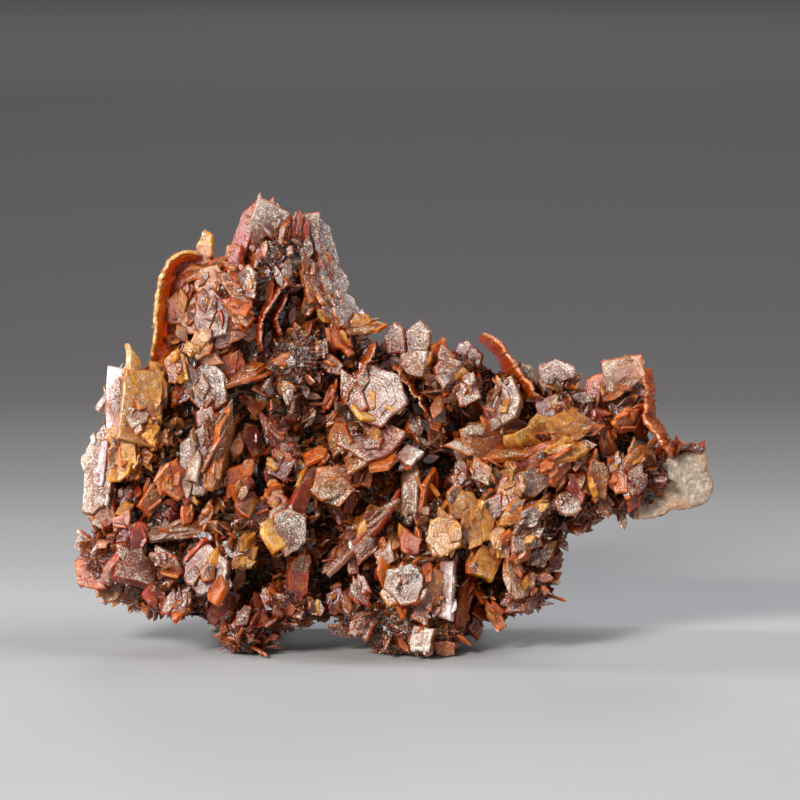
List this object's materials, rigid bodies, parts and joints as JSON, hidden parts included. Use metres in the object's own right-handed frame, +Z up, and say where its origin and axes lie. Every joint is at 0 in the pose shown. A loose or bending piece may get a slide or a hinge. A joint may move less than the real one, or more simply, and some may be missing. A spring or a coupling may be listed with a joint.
{
  "type": "descloizite specimen",
  "caption": "Hand specimen of descloizite: a jagged crust of thin, reddish-brown lozenge crystals grown over a slab of grey rock, with a low tapering arm and a flat-footed base.",
  "frame": {"origin": "on the resting plane, under the middle of the specimen's bounding box", "axes": "+Z up, +X along the specimen towards its low arm, -Y the side with the display crystals"},
  "size_m": [0.0999, 0.0398, 0.0705],
  "materials": {
    "descloizite": "glassy to frosted crystal faces",
    "grey_rock": "dull broken rock"
  },
  "bodies": {
    "root": {"descloizite_crystals": "descloizite", "matrix": "grey_rock"}
  },
  "joints": []
}
